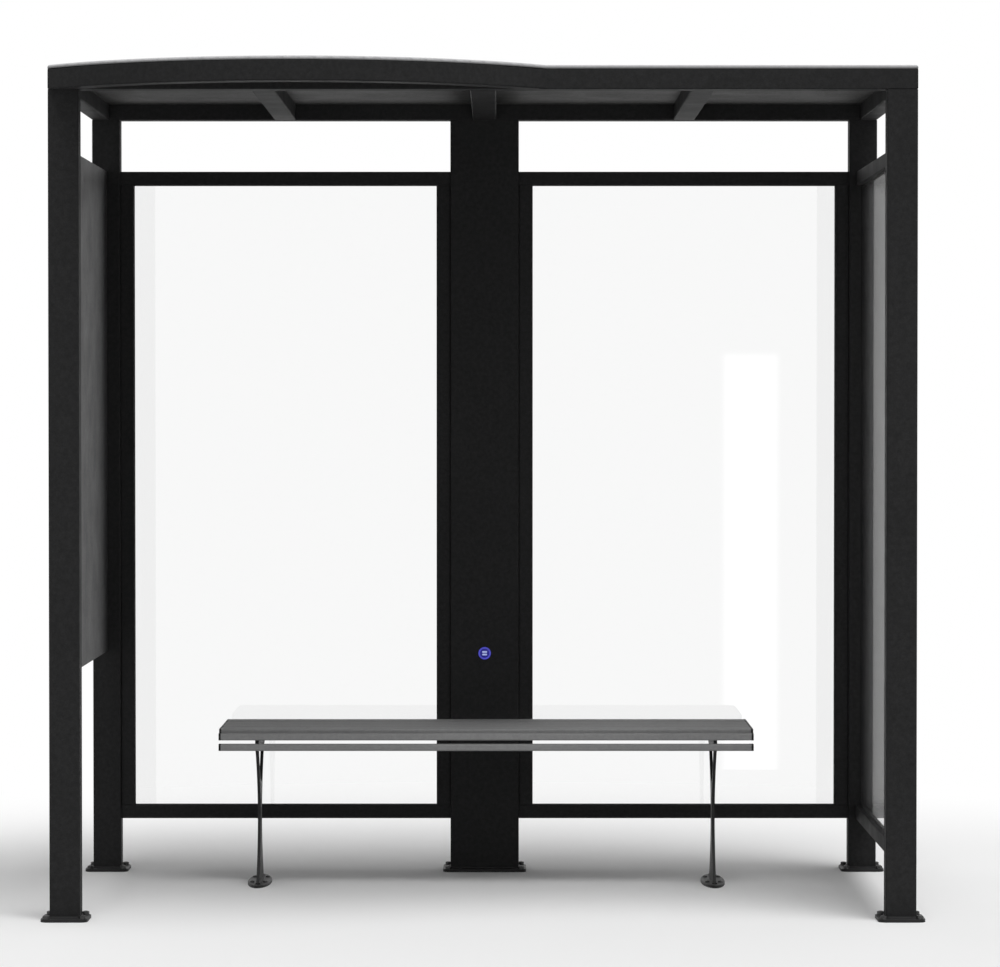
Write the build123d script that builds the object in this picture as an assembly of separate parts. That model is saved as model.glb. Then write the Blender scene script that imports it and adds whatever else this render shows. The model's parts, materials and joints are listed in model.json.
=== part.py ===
from build123d import *
import math
import os

# Bus shelter: a welded frame of steel box section with two framed windows at the back,
# a solid panel at the left end, a glass screen at the right end, a flat roof with a bowed
# canopy over the left half of the front, and a slatted bench on two cast legs.
#
# All sizes are in millimetres. X runs along the shelter and is 0 at the middle of its width.
# Y runs from the open front (low) to the back (high), Z is up and 0 at the ground.
# The origin is the middle of the footprint that the base plates and the bow cover.

# ---------------------------------------------------------------- driving sizes
WIDTH = 2318.0                # over the outer faces of the posts
FRAME_DEPTH = 1190.0          # front face of the front posts to back face of the back posts
BEAM_UNDERSIDE = 2220.0       # headroom under the roof beams

POST_WIDTH = 82.0             # box section, along the shelter
POST_DEPTH = 60.0             # box section, front to back
COLUMN_WIDTH = 202.0          # centre column, as deep as a post
TUBE_WALL = 4.0
TUBE_CORNER = 4.0             # outside corner radius of posts, column and beams
TUBE_INNER_CORNER = 1.0

LONG_BEAM_WIDTH = 60.0        # front and back beams, seen from above
SIDE_BEAM_WIDTH = 50.0
BOW_WIDTH = 60.0
BEAM_HEIGHT = 55.0
RAFTER_WIDTH = 62.0
CENTRE_RAFTER_WIDTH = 70.0
CEILING_THICKNESS = 9.0
ROOF_THICKNESS = 10.0

BOW_REACH = 285.0             # how far the bow stands out in front of the posts
BOW_CHORD = 1328.0            # from the left end of the shelter to where the bow meets the front beam

PLATE_SIZE = 126.0            # base plates under the posts, square
COLUMN_PLATE_WIDTH = 245.0
COLUMN_PLATE_DEPTH = 140.0
PLATE_THICKNESS = 8.0
PLATE_CORNER = 20.0
EDGE_RADIUS = 1.0             # broken edges of plates and sheets
ROOF_NOSE_RADIUS = 7.0        # the roof sheet is rolled down along its upper edge
HOLE_INSET = 15.0             # bolt hole centre from the edges of its plate
HOLE_RADIUS = 6.0

GAP_BELOW_WINDOWS = 154.5     # from the ground
GAP_ABOVE_WINDOWS = 151.5     # to the underside of the beams
BAR_SIZE = 40.0               # window bars and side rails, height and depth
BAR_CORNER = 3.0
GLASS_THICKNESS = 10.0
GLASS_SEAT = 12.0             # how deep the glass goes into a bar
GLASS_EDGE_GAP = 3.0          # room left past the edge of the glass in its groove

SIDE_PANEL_BOTTOM = 652.0     # above the ground
SIDE_PANEL_THICKNESS = 6.0

BENCH_CENTRE_X = 6.0
BENCH_LENGTH = 1524.0
BENCH_TO_COLUMN_GAP = 64.0    # from the back edge of the seat to the face of the column
SEAT_HEIGHT = 455.0
SEAT_DEPTH = 354.0
PLANK_COUNT = 4
PLANK_GAP = 5.0
PLANK_THICKNESS = 22.0
PLANK_CORNER = 5.0
END_CAP_THICKNESS = 6.0
FRONT_RAIL_SIZE = 20.0
FRONT_RAIL_CORNER = 5.0
RAIL_TO_PLANK_GAP = 5.0
UPPER_RAIL_DROP = 11.0        # top of the upper rail below the seat
RAIL_SPACING = 30.0           # from one front rail to the next

LEG_INSET = 108.0             # middle of a leg from the end of the bench
LEG_FORWARD = 41.0            # middle of a leg in front of the middle of the seat
LEG_THICKNESS = 8.5           # the leg is a flat casting, seen edge on from the front
LEG_WAIST = 60.0              # narrowest width of the leg, seen from the end
LEG_WAIST_SHARE = 0.474       # how far up the leg its waist is
LEG_FOOT_SPREAD = 220.0       # width of the leg where it stands on its foot
LEG_TO_RAIL_GAP = 6.0         # from the front arm to the back of the front rails
LEG_ARM_WIDTH = 30.0          # width of each arm at its top
LEG_FORK_SHARE = 0.495        # depth of the fork, as a share of the leg above its waist
FOOT_LENGTH = 282.0
FOOT_WIDTH = 68.0
FOOT_THICKNESS = 8.0
FOOT_EDGE_RADIUS = 3.0
FOOT_HOLE_RADIUS = 4.5
FOOT_HOLE_SPACING_X = 38.0
FOOT_HOLE_SPACING_Y = 120.0
SADDLE_THICKNESS = 10.0
SADDLE_HEIGHT = 41.0
SADDLE_BACK_INSET = 16.0      # back end of the saddle from the back edge of the seat
SADDLE_TAIL = 65.0            # length over which its back end rises
SADDLE_TAIL_HEIGHT = 12.0     # what is left at the very end

SOCKET_HEIGHT = 645.0
SOCKET_FLANGE_RADIUS = 19.0
SOCKET_FLANGE_THICKNESS = 4.0
SOCKET_BARREL_RADIUS = 15.0
SOCKET_BARREL_LENGTH = 26.0
SOCKET_RECESS_RADIUS = 13.0
SOCKET_RECESS_DEPTH = 2.5
SOCKET_CLEARANCE = 0.5

# ---------------------------------------------------------------- places worked out from them
LEFT = -WIDTH / 2
RIGHT = WIDTH / 2
POST_X = WIDTH / 2 - POST_WIDTH / 2
BACK_OVERHANG = max(PLATE_SIZE, COLUMN_PLATE_DEPTH) / 2 - POST_DEPTH / 2
FRONT = BOW_REACH - (BOW_REACH + FRAME_DEPTH + BACK_OVERHANG) / 2
BACK = FRONT + FRAME_DEPTH
FRONT_POST_Y = FRONT + POST_DEPTH / 2
BACK_POST_Y = BACK - POST_DEPTH / 2
COLUMN_FRONT = BACK - POST_DEPTH
BEAM_TOP = BEAM_UNDERSIDE + BEAM_HEIGHT
BEAM_MID_Z = BEAM_UNDERSIDE + BEAM_HEIGHT / 2
ROOF_TOP = BEAM_TOP + ROOF_THICKNESS
CEILING_UNDERSIDE = BEAM_TOP - CEILING_THICKNESS
BAY_INNER_X = COLUMN_WIDTH / 2
BAY_OUTER_X = WIDTH / 2 - POST_WIDTH
WINDOW_BOTTOM = GAP_BELOW_WINDOWS
WINDOW_TOP = BEAM_UNDERSIDE - GAP_ABOVE_WINDOWS
RAFTER_X = (BAY_INNER_X + BAY_OUTER_X) / 2
BOW_RADIUS = ((BOW_CHORD / 2) ** 2 + BOW_REACH ** 2) / (2 * BOW_REACH)
BOW_CENTRE_X = LEFT + BOW_CHORD / 2
BOW_CENTRE_Y = FRONT + BOW_RADIUS - BOW_REACH
PLANK_UNDERSIDE = SEAT_HEIGHT - PLANK_THICKNESS
PLANK_WIDTH = (SEAT_DEPTH - (PLANK_COUNT - 1) * PLANK_GAP) / PLANK_COUNT
SEAT_BACK = COLUMN_FRONT - BENCH_TO_COLUMN_GAP
SEAT_FRONT = SEAT_BACK - SEAT_DEPTH
RAIL_BACK = SEAT_FRONT - RAIL_TO_PLANK_GAP
RAIL_Y = RAIL_BACK - FRONT_RAIL_SIZE / 2
UPPER_RAIL_Z = SEAT_HEIGHT - UPPER_RAIL_DROP - FRONT_RAIL_SIZE / 2
LOWER_RAIL_Z = UPPER_RAIL_Z - RAIL_SPACING
SADDLE_UNDERSIDE = PLANK_UNDERSIDE - SADDLE_HEIGHT
LEG_Y = (SEAT_FRONT + SEAT_BACK) / 2 - LEG_FORWARD
LEG_X = BENCH_LENGTH / 2 - LEG_INSET
LEG_ARM_REACH = LEG_Y - RAIL_BACK - LEG_TO_RAIL_GAP


def write(name, shape):
    """Write one piece to its own file."""
    export_step(shape, "parts/" + name + ".step")


def block(x_low, x_high, y_low, y_high, z_low, z_high):
    """A plain block between two corners."""
    size = Box(x_high - x_low, y_high - y_low, z_high - z_low)
    return Pos((x_low + x_high) / 2, (y_low + y_high) / 2, (z_low + z_high) / 2) * size


def prism(outline, z_low, z_high):
    """Extrude a flat outline, drawn from above, between two heights."""
    return Pos(0, 0, z_low) * extrude(outline, amount=z_high - z_low)


def upright_tube(x_mid, y_mid, width, depth, z_low, z_high):
    """A standing box section with rounded corners."""
    return Pos(x_mid, y_mid, 0) * prism(box_section(width, depth), z_low, z_high)


def bar_along_x(section, x_low, x_high, y_mid, z_mid):
    """Extrude a section, drawn in Y and Z, along X."""
    placed = Plane(origin=(x_low, y_mid, z_mid), x_dir=(0, 1, 0), z_dir=(1, 0, 0)) * section
    return extrude(placed, amount=x_high - x_low)


def bar_along_y(section, y_low, y_high, x_mid, z_mid):
    """Extrude a section, drawn in X and Z, along Y."""
    placed = Plane(origin=(x_mid, y_low, z_mid), x_dir=(-1, 0, 0), z_dir=(0, 1, 0)) * section
    return extrude(placed, amount=y_high - y_low)


def box_section(width, height):
    """A hollow rectangle with rounded corners."""
    outside = RectangleRounded(width, height, TUBE_CORNER)
    inside = RectangleRounded(width - 2 * TUBE_WALL, height - 2 * TUBE_WALL, TUBE_INNER_CORNER)
    return outside - inside


def plate_with_holes(width, depth, thickness, corner, spacing_x, spacing_y, hole_radius):
    """A flat plate, middle on the Z axis, with a bolt hole near each corner."""
    outline = RectangleRounded(width, depth, corner)
    for x_sign in (-1, 1):
        for y_sign in (-1, 1):
            outline -= Pos(x_sign * spacing_x / 2, y_sign * spacing_y / 2) * Circle(hole_radius)
    plate = prism(outline, 0, thickness)
    outer_loop = plate.faces().sort_by(Axis.Z)[-1].outer_wire().edges()
    return fillet(outer_loop, EDGE_RADIUS)


# ---------------------------------------------------------------- posts, column and base plates
def make_posts():
    for end, x_mid in (("left", -POST_X), ("right", POST_X)):
        for row, y_mid in (("front", FRONT_POST_Y), ("back", BACK_POST_Y)):
            post = upright_tube(x_mid, y_mid, POST_WIDTH, POST_DEPTH, PLATE_THICKNESS, BEAM_UNDERSIDE)
            write(row + "_" + end + "_post", post)


def make_column():
    """The centre column has a round cut-out in its front wall for the charging socket."""
    column = upright_tube(0, BACK_POST_Y, COLUMN_WIDTH, POST_DEPTH, PLATE_THICKNESS, BEAM_UNDERSIDE)
    cut_out = Cylinder(SOCKET_BARREL_RADIUS + SOCKET_CLEARANCE, POST_DEPTH, rotation=(90, 0, 0))
    column -= Pos(0, COLUMN_FRONT, SOCKET_HEIGHT) * cut_out
    write("centre_column", column)


def make_charging_socket():
    """A round flanged socket: flange on the face of the column, barrel through its front wall."""
    flange = Cylinder(SOCKET_FLANGE_RADIUS, SOCKET_FLANGE_THICKNESS)
    flange = fillet(flange.edges().group_by(Axis.Z)[-1], SOCKET_FLANGE_THICKNESS / 3)
    barrel = Pos(0, 0, -(SOCKET_FLANGE_THICKNESS + SOCKET_BARREL_LENGTH) / 2)
    barrel *= Cylinder(SOCKET_BARREL_RADIUS, SOCKET_BARREL_LENGTH)
    recess_middle = (SOCKET_FLANGE_THICKNESS - SOCKET_RECESS_DEPTH) / 2
    recess = Pos(0, 0, recess_middle) * Cylinder(SOCKET_RECESS_RADIUS, SOCKET_RECESS_DEPTH)
    socket = flange + barrel - recess
    centre = (0, COLUMN_FRONT - SOCKET_FLANGE_THICKNESS / 2, SOCKET_HEIGHT)
    write("charging_socket", Plane(origin=centre, x_dir=(1, 0, 0), z_dir=(0, -1, 0)) * socket)


def make_base_plates():
    spacing = PLATE_SIZE - 2 * HOLE_INSET
    plates = []
    for x_mid in (-POST_X, POST_X):
        for y_mid in (FRONT_POST_Y, BACK_POST_Y):
            plate = plate_with_holes(PLATE_SIZE, PLATE_SIZE, PLATE_THICKNESS, PLATE_CORNER,
                                     spacing, spacing, HOLE_RADIUS)
            plates.append(Pos(x_mid, y_mid, 0) * plate)
    write("post_base_plates", Compound(children=plates))
    plate = plate_with_holes(COLUMN_PLATE_WIDTH, COLUMN_PLATE_DEPTH, PLATE_THICKNESS, PLATE_CORNER,
                             COLUMN_PLATE_WIDTH - 2 * HOLE_INSET, COLUMN_PLATE_DEPTH - 2 * HOLE_INSET,
                             HOLE_RADIUS)
    write("column_base_plate", Pos(0, BACK_POST_Y, 0) * plate)


# ---------------------------------------------------------------- roof frame
def cut_to_outline(tube, corners):
    """Keep the part of a beam that stands inside an outline drawn from above."""
    return tube & prism(make_face(Polyline(*corners, close=True)), BEAM_UNDERSIDE, BEAM_TOP)


def make_long_beams():
    """The front and back beams, mitred to the side beams at the corners."""
    section = box_section(LONG_BEAM_WIDTH, BEAM_HEIGHT)
    inner_x = WIDTH / 2 - SIDE_BEAM_WIDTH
    for row, y_outer, y_inner in (("front", FRONT, FRONT + LONG_BEAM_WIDTH),
                                  ("back", BACK, BACK - LONG_BEAM_WIDTH)):
        tube = bar_along_x(section, LEFT, RIGHT, (y_outer + y_inner) / 2, BEAM_MID_Z)
        corners = [(LEFT, y_outer), (RIGHT, y_outer), (inner_x, y_inner), (-inner_x, y_inner)]
        write(row + "_beam", cut_to_outline(tube, corners))


def make_side_beams():
    section = box_section(SIDE_BEAM_WIDTH, BEAM_HEIGHT)
    for end, sign in (("left", -1), ("right", 1)):
        outer = sign * WIDTH / 2
        inner = sign * (WIDTH / 2 - SIDE_BEAM_WIDTH)
        tube = bar_along_y(section, FRONT, BACK, (outer + inner) / 2, BEAM_MID_Z)
        corners = [(outer, FRONT), (outer, BACK),
                   (inner, BACK - LONG_BEAM_WIDTH), (inner, FRONT + LONG_BEAM_WIDTH)]
        write(end + "_side_beam", cut_to_outline(tube, corners))


def make_rafters():
    for name, x_mid, width in (("left_rafter", -RAFTER_X, RAFTER_WIDTH),
                               ("centre_rafter", 0, CENTRE_RAFTER_WIDTH),
                               ("right_rafter", RAFTER_X, RAFTER_WIDTH)):
        section = box_section(width, BEAM_HEIGHT)
        write(name, bar_along_y(section, FRONT + LONG_BEAM_WIDTH, BACK - LONG_BEAM_WIDTH, x_mid, BEAM_MID_Z))


def space_in_front():
    """Everything in front of the front beam, seen from above."""
    return Pos(BOW_CENTRE_X, FRONT - BOW_RADIUS) * Rectangle(4 * BOW_RADIUS, 2 * BOW_RADIUS)


def bow_segment(radius):
    """The part of a circle about the bow's centre that stands in front of the front beam."""
    return (Pos(BOW_CENTRE_X, BOW_CENTRE_Y) * Circle(radius)) & space_in_front()


def make_bow_beam():
    """The front edge of the canopy: a box section rolled to a circle and cut off along the beam."""
    section = Pos(BOW_RADIUS - BOW_WIDTH / 2, 0) * box_section(BOW_WIDTH, BEAM_HEIGHT)
    upright = Plane(origin=(BOW_CENTRE_X, BOW_CENTRE_Y, BEAM_MID_Z), x_dir=(1, 0, 0), z_dir=(0, -1, 0))
    ring = revolve(upright * section, Axis((BOW_CENTRE_X, BOW_CENTRE_Y, 0), (0, 0, -1)), 180)
    write("bow_beam", ring & prism(space_in_front(), BEAM_UNDERSIDE - BEAM_HEIGHT, BEAM_TOP + BEAM_HEIGHT))


def make_ceiling():
    """Flat panels let in between the beams and rafters, flush with their tops."""
    edges = [LEFT + SIDE_BEAM_WIDTH,
             -RAFTER_X - RAFTER_WIDTH / 2, -RAFTER_X + RAFTER_WIDTH / 2,
             -CENTRE_RAFTER_WIDTH / 2, CENTRE_RAFTER_WIDTH / 2,
             RAFTER_X - RAFTER_WIDTH / 2, RAFTER_X + RAFTER_WIDTH / 2,
             RIGHT - SIDE_BEAM_WIDTH]
    y_low = FRONT + LONG_BEAM_WIDTH
    y_high = BACK - LONG_BEAM_WIDTH
    panels = [block(x_low, x_high, y_low, y_high, CEILING_UNDERSIDE, BEAM_TOP)
              for x_low, x_high in zip(edges[0::2], edges[1::2])]
    write("ceiling_panels", Compound(children=panels))
    write("bow_ceiling_panel", prism(bow_segment(BOW_RADIUS - BOW_WIDTH), CEILING_UNDERSIDE, BEAM_TOP))


def make_roof_sheet():
    """One sheet over the whole roof, with the bow's outline in front."""
    flat = Pos(0, (FRONT + BACK) / 2) * Rectangle(WIDTH, FRAME_DEPTH)
    sheet = prism(flat + bow_segment(BOW_RADIUS), BEAM_TOP, ROOF_TOP)
    write("roof_sheet", fillet(sheet.edges().group_by(Axis.Z)[-1], ROOF_NOSE_RADIUS))


# ---------------------------------------------------------------- windows and end screens
def glazing_bar(length):
    """A bar along X about its own middle, with the groove for the glass along its top."""
    section = RectangleRounded(BAR_SIZE, BAR_SIZE, BAR_CORNER)
    depth = GLASS_SEAT + GLASS_EDGE_GAP
    section -= Pos(0, BAR_SIZE / 2 - depth / 2) * Rectangle(GLASS_THICKNESS, depth)
    return bar_along_x(section, -length / 2, length / 2, 0, 0)


def glass_sheet(length, height):
    """A pane that stands along X about its own middle."""
    return Box(length, GLASS_THICKNESS, height)


def make_back_window(name, x_low, x_high):
    """A framed pane between the column and a back post."""
    x_mid = (x_low + x_high) / 2
    z_mid = (WINDOW_BOTTOM + WINDOW_TOP) / 2
    height = WINDOW_TOP - WINDOW_BOTTOM
    centre = Pos(x_mid, BACK_POST_Y, z_mid)
    rail = glazing_bar(x_high - x_low)
    stile = glazing_bar(height - 2 * BAR_SIZE)
    out_x = (x_high - x_low) / 2 - BAR_SIZE / 2
    out_z = height / 2 - BAR_SIZE / 2
    write(name + "_bottom_rail", centre * Pos(0, 0, -out_z) * rail)
    write(name + "_top_rail", centre * Pos(0, 0, out_z) * Rot(180, 0, 0) * rail)
    write(name + "_left_stile", centre * Pos(-out_x, 0, 0) * Rot(0, 90, 0) * stile)
    write(name + "_right_stile", centre * Pos(out_x, 0, 0) * Rot(0, -90, 0) * stile)
    opening = BAR_SIZE - GLASS_SEAT
    pane = glass_sheet(x_high - x_low - 2 * opening, height - 2 * opening)
    write(name + "_glass", centre * pane)


def make_right_screen():
    """Glass from post to post at the right end, held by a rail above and a rail below."""
    y_low = FRONT + POST_DEPTH
    y_high = BACK - POST_DEPTH
    z_mid = (WINDOW_BOTTOM + WINDOW_TOP) / 2
    height = WINDOW_TOP - WINDOW_BOTTOM
    centre = Pos(POST_X, (y_low + y_high) / 2, z_mid) * Rot(0, 0, 90)
    rail = glazing_bar(y_high - y_low)
    out_z = height / 2 - BAR_SIZE / 2
    write("right_screen_bottom_rail", centre * Pos(0, 0, -out_z) * rail)
    write("right_screen_top_rail", centre * Pos(0, 0, out_z) * Rot(180, 0, 0) * rail)
    write("right_screen_glass", centre * glass_sheet(y_high - y_low, height - 2 * (BAR_SIZE - GLASS_SEAT)))


def make_left_panel():
    """A solid sheet from post to post at the left end."""
    half = SIDE_PANEL_THICKNESS / 2
    sheet = block(-POST_X - half, -POST_X + half, FRONT + POST_DEPTH, BACK - POST_DEPTH,
                  SIDE_PANEL_BOTTOM, WINDOW_TOP)
    write("left_side_panel", sheet)


# ---------------------------------------------------------------- bench
def plank_places():
    """Section, Y and Z of each plank."""
    section = RectangleRounded(PLANK_WIDTH, PLANK_THICKNESS, PLANK_CORNER)
    pitch = PLANK_WIDTH + PLANK_GAP
    return [(section, SEAT_FRONT + PLANK_WIDTH / 2 + index * pitch, SEAT_HEIGHT - PLANK_THICKNESS / 2)
            for index in range(PLANK_COUNT)]


def rail_places():
    """Section, Y and Z of the upper and the lower front rail."""
    section = RectangleRounded(FRONT_RAIL_SIZE, FRONT_RAIL_SIZE, FRONT_RAIL_CORNER)
    return [(section, RAIL_Y, UPPER_RAIL_Z), (section, RAIL_Y, LOWER_RAIL_Z)]


def bench_members(places, x_low, x_high):
    """One bar along X for each place."""
    return [bar_along_x(section, x_low, x_high, y_mid, z_mid) for section, y_mid, z_mid in places]


def make_bench_top():
    """The planks and front rails, with a thin cap on each of their ends."""
    left_end = BENCH_CENTRE_X - BENCH_LENGTH / 2
    right_end = BENCH_CENTRE_X + BENCH_LENGTH / 2
    inner_left = left_end + END_CAP_THICKNESS
    inner_right = right_end - END_CAP_THICKNESS
    write("seat_planks", Compound(children=bench_members(plank_places(), inner_left, inner_right)))
    upper, lower = bench_members(rail_places(), inner_left, inner_right)
    write("upper_front_rail", upper)
    write("lower_front_rail", lower)
    everything = plank_places() + rail_places()
    write("left_end_caps", Compound(children=bench_members(everything, left_end, inner_left)))
    write("right_end_caps", Compound(children=bench_members(everything, inner_right, right_end)))


def leg_outline():
    """Side view of a leg, Y across and Z up: waisted, with a round fork that leaves two arms at the top."""
    half_waist = LEG_WAIST / 2
    half_spread = LEG_FOOT_SPREAD / 2
    inner_reach = LEG_ARM_REACH - LEG_ARM_WIDTH
    waist_z = FOOT_THICKNESS + LEG_WAIST_SHARE * (SADDLE_UNDERSIDE - FOOT_THICKNESS)
    fork_depth = LEG_FORK_SHARE * (SADDLE_UNDERSIDE - waist_z)
    lower = Bezier((half_spread, FOOT_THICKNESS), (half_waist, (FOOT_THICKNESS + waist_z) / 2),
                   (half_waist, waist_z))
    upper = Bezier((half_waist, waist_z), (half_waist, (waist_z + SADDLE_UNDERSIDE) / 2),
                   (LEG_ARM_REACH, SADDLE_UNDERSIDE))
    arm_top = Line((LEG_ARM_REACH, SADDLE_UNDERSIDE), (inner_reach, SADDLE_UNDERSIDE))
    fork = Bezier((inner_reach, SADDLE_UNDERSIDE), (0, SADDLE_UNDERSIDE - 2 * fork_depth),
                  (-inner_reach, SADDLE_UNDERSIDE))
    base = Line((-half_spread, FOOT_THICKNESS), (half_spread, FOOT_THICKNESS))
    side = [*lower.edges(), *upper.edges(), *arm_top.edges()]
    other_side = [edge.mirror(Plane.YZ) for edge in side]
    return make_face([*side, *other_side, *fork.edges(), *base.edges()])


def saddle_outline():
    """Side view of a saddle: a deep bar under the planks, its front end behind the two rails."""
    back = SEAT_BACK - SADDLE_BACK_INSET
    corners = [(RAIL_BACK, PLANK_UNDERSIDE), (back, PLANK_UNDERSIDE),
               (back, PLANK_UNDERSIDE - SADDLE_TAIL_HEIGHT), (back - SADDLE_TAIL, SADDLE_UNDERSIDE),
               (RAIL_BACK, SADDLE_UNDERSIDE)]
    return make_face(Polyline(*corners, close=True))


def extrude_side_view(outline, x_mid, thickness):
    """Give a side view, Y across and Z up, a thickness along X."""
    plane = Plane(origin=(x_mid - thickness / 2, 0, 0), x_dir=(0, 1, 0), z_dir=(1, 0, 0))
    return extrude(plane * outline, amount=thickness)


def make_bench_supports():
    """On each side a foot plate on the ground, a cast leg, and a saddle that carries the planks."""
    foot = prism(Ellipse(FOOT_WIDTH / 2, FOOT_LENGTH / 2), 0, FOOT_THICKNESS)
    foot = fillet(foot.edges().group_by(Axis.Z)[-1], FOOT_EDGE_RADIUS)
    for x_sign in (-1, 1):
        for y_sign in (-1, 1):
            hole = Pos(x_sign * FOOT_HOLE_SPACING_X / 2, y_sign * FOOT_HOLE_SPACING_Y / 2)
            foot -= hole * prism(Circle(FOOT_HOLE_RADIUS), 0, FOOT_THICKNESS)
    saddle_face = saddle_outline()
    leg_face = Pos(LEG_Y, 0) * leg_outline()
    feet = []
    for side, x_mid in (("left", BENCH_CENTRE_X - LEG_X), ("right", BENCH_CENTRE_X + LEG_X)):
        feet.append(Pos(x_mid, LEG_Y, 0) * foot)
        write(side + "_bench_leg", extrude_side_view(leg_face, x_mid, LEG_THICKNESS))
        write(side + "_bench_saddle", extrude_side_view(saddle_face, x_mid, SADDLE_THICKNESS))
    write("bench_feet", Compound(children=feet))


# ---------------------------------------------------------------- build everything
os.makedirs("parts", exist_ok=True)
make_posts()
make_column()
make_charging_socket()
make_base_plates()
make_long_beams()
make_side_beams()
make_rafters()
make_bow_beam()
make_ceiling()
make_roof_sheet()
make_back_window("left_window", -BAY_OUTER_X, -BAY_INNER_X)
make_back_window("right_window", BAY_INNER_X, BAY_OUTER_X)
make_right_screen()
make_left_panel()
make_bench_top()
make_bench_supports()
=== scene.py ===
# %% [markdown]
# # A small bus shelter
# The frame of this shelter is steel box section, powder coated black, with glass at the back and at
# one end, a sheet-metal panel at the other end, a flat roof with a bowed front edge and a slatted
# bench. The sizes and places of all those parts are already fixed by the engineering model, so this
# lesson loads that model first and measures it. Everything made later takes its place from those
# measurements.

# %% Load the measured model
import json
import math

import bmesh
import bpy
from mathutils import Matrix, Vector


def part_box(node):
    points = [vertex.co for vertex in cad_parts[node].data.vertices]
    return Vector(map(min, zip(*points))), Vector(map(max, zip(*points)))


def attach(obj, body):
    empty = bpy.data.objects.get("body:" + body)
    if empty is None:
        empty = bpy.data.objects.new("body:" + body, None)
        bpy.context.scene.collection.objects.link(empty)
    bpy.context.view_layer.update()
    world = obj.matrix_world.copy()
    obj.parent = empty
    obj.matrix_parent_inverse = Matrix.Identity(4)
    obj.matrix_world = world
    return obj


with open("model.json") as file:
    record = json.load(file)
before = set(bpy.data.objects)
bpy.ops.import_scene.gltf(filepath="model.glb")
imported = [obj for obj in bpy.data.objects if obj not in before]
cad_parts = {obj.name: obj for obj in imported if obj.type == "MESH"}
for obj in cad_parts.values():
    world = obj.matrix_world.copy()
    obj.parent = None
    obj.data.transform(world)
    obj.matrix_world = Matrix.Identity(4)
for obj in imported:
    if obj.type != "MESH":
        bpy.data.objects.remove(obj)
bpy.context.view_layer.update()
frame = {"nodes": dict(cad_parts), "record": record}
nodes = frame["nodes"]
mounts = {mount["name"]: mount for mount in frame["record"]["mounts"]}

# %% [markdown]
# ## Where to stand
# A street shelter is seen by someone who walks up to it, so the camera is at standing height,
# straight in front and far enough away for the upright posts to stay upright. A long lens keeps the
# depth of the shelter from spreading out.

# %% Camera
LENS_MM, SENSOR_MM = 140.4, 36.0
EYE_ASIDE, EYE_AWAY, EYE_HEIGHT = 0.0455, 10.4, 1.3807
LOOKING_DOWN = math.radians(1.16)

front_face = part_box("front_left_post")[0].y
camera_data = bpy.data.cameras.new("street_camera")
camera_data.lens = LENS_MM
camera_data.sensor_width = SENSOR_MM
camera_data.clip_end = 200.0
camera = bpy.data.objects.new("street_camera", camera_data)
camera.location = (EYE_ASIDE, front_face - EYE_AWAY, EYE_HEIGHT)
camera.rotation_euler = (math.pi / 2 - LOOKING_DOWN, 0.0, 0.0)
bpy.context.scene.collection.objects.link(camera)
bpy.context.scene.camera = camera
bpy.context.scene.view_settings.view_transform = "Standard"
print("camera stands", round(front_face - camera.location.y, 2), "m in front of the posts")

# %% [markdown]
# ## Light
# A pale studio suits a dark object: the sky is even and soft, and one broad lamp high up in front
# and a little to the right gives the roof a soft shadow that falls back and to the left. What the
# eye, the glass and the gloss of the paint see of the sky is plain white, and what lights the
# shelter is dimmer.

# %% Sky
SKY_LEVEL = 0.40
WHITE = (1.0, 1.0, 1.0, 1.0)


def add_node(tree, kind, **settings):
    """Add a node and set its plain properties."""
    node = tree.nodes.new(kind)
    for key, value in settings.items():
        setattr(node, key, value)
    return node


def seen_directly(tree):
    """1 for a ray from the eye, a gloss or through glass, 0 for one that only lights a surface."""
    path = add_node(tree, "ShaderNodeLightPath")
    first = add_node(tree, "ShaderNodeMath", operation="MAXIMUM")
    second = add_node(tree, "ShaderNodeMath", operation="MAXIMUM")
    tree.links.new(path.outputs["Is Camera Ray"], first.inputs[0])
    tree.links.new(path.outputs["Is Glossy Ray"], first.inputs[1])
    tree.links.new(first.outputs[0], second.inputs[0])
    tree.links.new(path.outputs["Is Transmission Ray"], second.inputs[1])
    return second.outputs[0]


world = bpy.data.worlds.new("pale_sky")
bpy.context.scene.world = world
world.use_nodes = True
sky = world.node_tree
sky.nodes.clear()
dim = add_node(sky, "ShaderNodeBackground")
white = add_node(sky, "ShaderNodeBackground")
for background, level in ((dim, SKY_LEVEL), (white, 1.0)):
    background.inputs["Color"].default_value = WHITE
    background.inputs["Strength"].default_value = level
sky_mix = add_node(sky, "ShaderNodeMixShader")
sky_out = add_node(sky, "ShaderNodeOutputWorld")
sky.links.new(seen_directly(sky), sky_mix.inputs[0])
sky.links.new(dim.outputs[0], sky_mix.inputs[1])
sky.links.new(white.outputs[0], sky_mix.inputs[2])
sky.links.new(sky_mix.outputs[0], sky_out.inputs[0])
print("sky", SKY_LEVEL)

# %% Lamp
LAMP_LEVEL = 2.02
LAMP_SPREAD = math.radians(38.0)
LAMP_FROM = Vector((0.2, -0.33, 1.0))

lamp_data = bpy.data.lights.new("broad_lamp", "SUN")
lamp_data.energy = LAMP_LEVEL
lamp_data.angle = LAMP_SPREAD
lamp = bpy.data.objects.new("broad_lamp", lamp_data)
lamp.rotation_euler = LAMP_FROM.to_track_quat("Z", "Y").to_euler()
bpy.context.scene.collection.objects.link(lamp)
print("lamp", LAMP_LEVEL, "spread over", round(math.degrees(LAMP_SPREAD)), "degrees")

# %% [markdown]
# ## The ground
# The shelter stands on a plain pale floor. Near the shelter the floor is a matt surface that takes
# the shadow. Further out it turns to plain white, so that the floor and the sky have no line
# between them. The floor throws only part of its light back up, as if it were darker out of sight,
# so that the undersides stay deep.

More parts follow.
